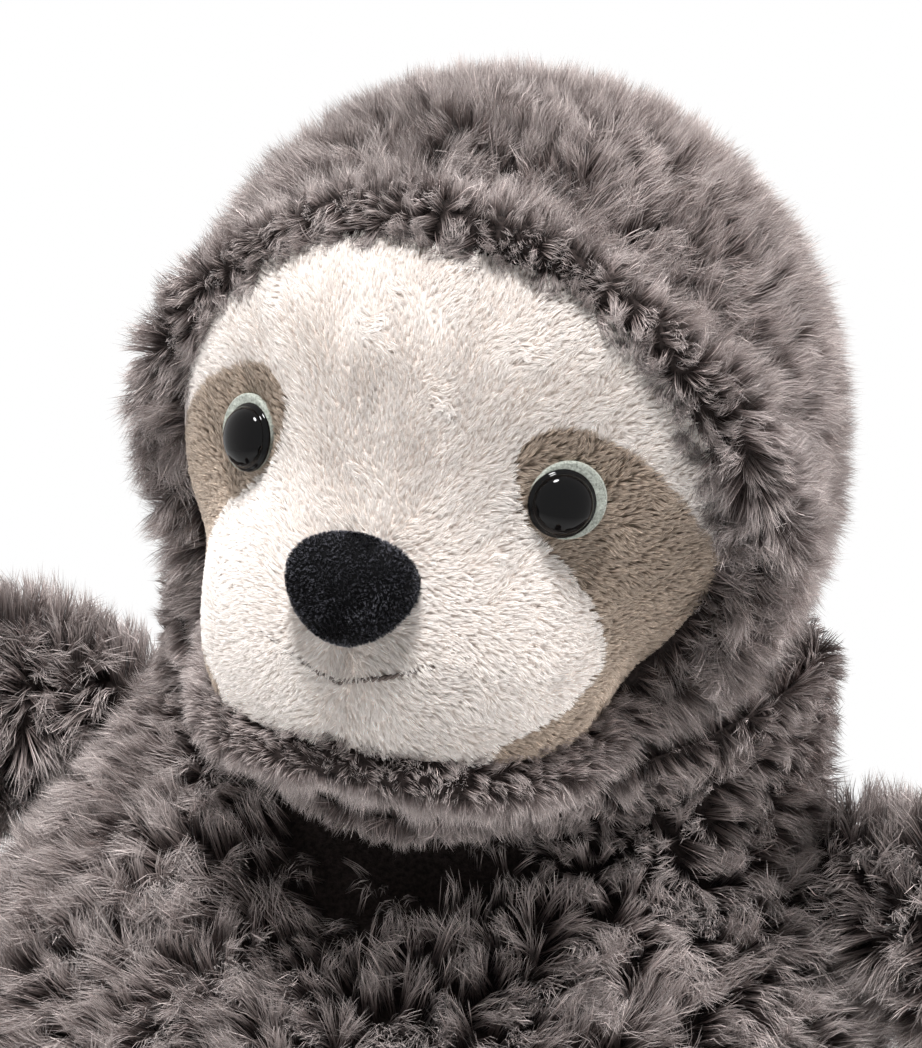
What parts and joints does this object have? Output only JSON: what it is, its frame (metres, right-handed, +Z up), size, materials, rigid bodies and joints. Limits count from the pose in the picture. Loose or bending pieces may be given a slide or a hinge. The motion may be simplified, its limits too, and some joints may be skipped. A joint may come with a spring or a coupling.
{
  "type": "plush sloth",
  "caption": "Seated soft toy sloth: long-pile body, hood and limbs, short-pile face with dark eye patches, domed safety eyes, flocked nose and curved cloth claws.",
  "frame": {"origin": "on the floor, on the seat's flat underside and in the plane that parts left from right, below the shoulders", "axes": "+Z up, the face looks along -Y, +X is the toy's own left"},
  "size_m": [0.2998, 0.2216, 0.2625],
  "materials": {
    "long_pile_fur": "brown-grey long pile, dark at the roots and silvery at the tips",
    "short_pile_cream": "short dense cream pile",
    "short_pile_brown": "short dense brown-grey pile",
    "claw_cloth": "smooth brushed cloth",
    "pale_felt": "flat pale green-grey felt",
    "black_plastic": "polished black",
    "clear_plastic": "uncoloured plastic",
    "black_flock": "black flock on a plastic nose",
    "dark_thread": "embroidery thread",
    "polyester_filling": "loose white fibre",
    "calico": "plain woven cotton"
  },
  "bodies": {
    "torso": {"body_cover": "long_pile_fur", "body_stuffing": "polyester_filling", "pellet_pouch": "calico"},
    "neck": {"neck_stuffing": "polyester_filling"},
    "head": {"head_cover": "long_pile_fur", "head_stuffing": "polyester_filling", "face_panel": "short_pile_cream", "eye_patch_left": "short_pile_brown", "eye_left": "black_plastic", "eye_ring_left": "pale_felt", "eye_washer_left": "clear_plastic", "eye_patch_right": "short_pile_brown", "eye_right": "black_plastic", "eye_ring_right": "pale_felt", "eye_washer_right": "clear_plastic", "nose": "black_flock", "nose_washer": "clear_plastic", "mouth_stitch": "dark_thread"},
    "arm_left": {"arm_cover_left": "long_pile_fur", "arm_stuffing_left": "polyester_filling", "arm_claw_left_1": "claw_cloth", "arm_claw_left_2": "claw_cloth", "arm_claw_left_3": "claw_cloth"},
    "arm_right": {"arm_cover_right": "long_pile_fur", "arm_stuffing_right": "polyester_filling", "arm_claw_right_1": "claw_cloth", "arm_claw_right_2": "claw_cloth", "arm_claw_right_3": "claw_cloth"},
    "leg_left": {"leg_cover_left": "long_pile_fur", "leg_stuffing_left": "polyester_filling", "leg_claw_left_1": "claw_cloth", "leg_claw_left_2": "claw_cloth", "leg_claw_left_3": "claw_cloth"},
    "leg_right": {"leg_cover_right": "long_pile_fur", "leg_stuffing_right": "polyester_filling", "leg_claw_right_1": "claw_cloth", "leg_claw_right_2": "claw_cloth", "leg_claw_right_3": "claw_cloth"}
  },
  "joints": [
    {"name": "neck_turn", "type": "hinge", "parent": "torso", "child": "neck", "pos_m": [0, -0.01, 0.195], "axis": [0, 0, 1], "range_deg": [-25, 25]},
    {"name": "neck_nod", "type": "hinge", "parent": "neck", "child": "head", "pos_m": [0, -0.01, 0.195], "axis": [1, 0, 0], "range_deg": [-10, 10]},
    {"name": "shoulder_left", "type": "hinge", "parent": "torso", "child": "arm_left", "pos_m": [0.06312, 0.003, 0.1365], "axis": [0, -1, 0], "range_deg": [0, 50]},
    {"name": "shoulder_right", "type": "hinge", "parent": "torso", "child": "arm_right", "pos_m": [-0.06312, 0.003, 0.1365], "axis": [0, 1, 0], "range_deg": [0, 50]},
    {"name": "hip_left", "type": "hinge", "parent": "torso", "child": "leg_left", "pos_m": [0.05744, -0.07626, 0.031], "axis": [-0.8779, -0.4789, 0], "range_deg": [0, 35]},
    {"name": "hip_right", "type": "hinge", "parent": "torso", "child": "leg_right", "pos_m": [-0.05744, -0.07626, 0.031], "axis": [-0.8779, 0.4789, 0], "range_deg": [0, 35]}
  ]
}
